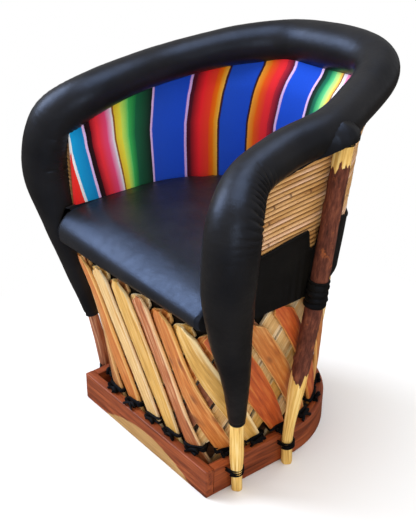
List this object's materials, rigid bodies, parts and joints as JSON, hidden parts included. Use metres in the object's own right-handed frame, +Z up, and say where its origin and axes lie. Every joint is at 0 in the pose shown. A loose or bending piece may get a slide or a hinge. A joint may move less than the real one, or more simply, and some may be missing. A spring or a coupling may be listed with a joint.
{
  "type": "equipale barrel chair",
  "caption": "Barrel chair with a padded leather roll round back and arms, a striped cloth back, a leather seat and a crossed slat base on a bent wooden hoop.",
  "frame": {"origin": "centre of the chair's bounding box in plan, on the floor", "axes": "+Z up, the sitter faces -Y, +X is to the right as seen from the front"},
  "size_m": [0.6756, 0.6078, 0.803],
  "materials": {
    "base_wood": "oiled",
    "slat_wood": "split, raw",
    "hoop_wood": "raw",
    "bark_wood": "bark on",
    "peeled_wood": "peeled",
    "reed": "raw",
    "leather_black": "satin",
    "rawhide": "raw",
    "thong": "matt",
    "sarape_cloth": "woven"
  },
  "bodies": {
    "root": {"base_front_board": "base_wood", "base_bent_board": "base_wood", "foot_hoop": "hoop_wood", "seat_hoop": "leather_black", "slat_outer_01": "slat_wood", "slat_outer_02": "slat_wood", "slat_outer_03": "slat_wood", "slat_outer_04": "slat_wood", "slat_outer_05": "slat_wood", "slat_outer_06": "slat_wood", "slat_outer_07": "slat_wood", "slat_outer_08": "slat_wood", "slat_outer_09": "slat_wood", "slat_outer_10": "slat_wood", "slat_outer_11": "slat_wood", "slat_outer_12": "slat_wood", "slat_outer_13": "slat_wood", "slat_outer_14": "slat_wood", "slat_outer_15": "slat_wood", "slat_outer_16": "slat_wood", "slat_outer_17": "slat_wood", "slat_outer_18": "slat_wood", "slat_outer_19": "slat_wood", "slat_outer_20": "slat_wood", "slat_inner_01": "slat_wood", "slat_inner_02": "slat_wood", "slat_inner_03": "slat_wood", "slat_inner_04": "slat_wood", "slat_inner_05": "slat_wood", "slat_inner_06": "slat_wood", "slat_inner_07": "slat_wood", "slat_inner_08": "slat_wood", "slat_inner_09": "slat_wood", "slat_inner_10": "slat_wood", "slat_inner_11": "slat_wood", "slat_inner_12": "slat_wood", "slat_inner_13": "slat_wood", "slat_inner_14": "slat_wood", "slat_inner_15": "slat_wood", "slat_inner_16": "slat_wood", "slat_inner_17": "slat_wood", "slat_inner_18": "slat_wood", "slat_inner_19": "slat_wood", "slat_inner_20": "slat_wood", "base_thong": "thong", "seat_sling": "rawhide", "seat_pad": "leather_black", "seat_skirt": "leather_black", "reed_wall": "reed", "sarape_lining": "sarape_cloth", "arm_back_roll": "leather_black", "rim_hoop": "peeled_wood", "front_post_right": "peeled_wood", "front_post_left": "peeled_wood", "rear_post_right": "bark_wood", "rear_post_left": "bark_wood", "lashing_front_right": "thong", "lashing_front_left": "thong", "lashing_rear_right": "thong", "lashing_rear_left": "thong"}
  },
  "joints": []
}
